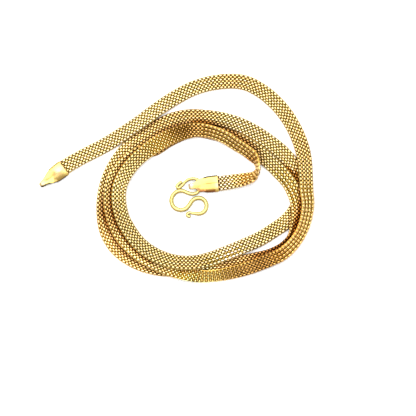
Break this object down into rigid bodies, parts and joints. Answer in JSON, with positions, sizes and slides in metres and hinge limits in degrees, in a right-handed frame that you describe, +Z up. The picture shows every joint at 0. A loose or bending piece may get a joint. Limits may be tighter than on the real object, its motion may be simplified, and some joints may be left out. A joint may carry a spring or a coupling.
{
  "type": "flat mesh necklace",
  "caption": "Flat gold-coloured woven mesh necklace lying in a loose coil, with a domed end cap at each end and an M-shaped hook through one cap's folded eye.",
  "frame": {"origin": "middle of the coil's bounding box, on the surface that it lies on", "axes": "+X along the coil's longest side, to the right in the picture; +Y towards the top of the picture; +Z up from the surface"},
  "size_m": [0.0839, 0.0636, 0.0046],
  "materials": {
    "woven_gold": "woven wire, half gloss",
    "smooth_gold": "polished"
  },
  "bodies": {
    "root": {"mesh_band_outer": "woven_gold", "mesh_band_inner": "woven_gold", "end_cap_outer": "smooth_gold", "end_cap_inner": "smooth_gold", "clasp_hook": "smooth_gold"}
  },
  "joints": []
}
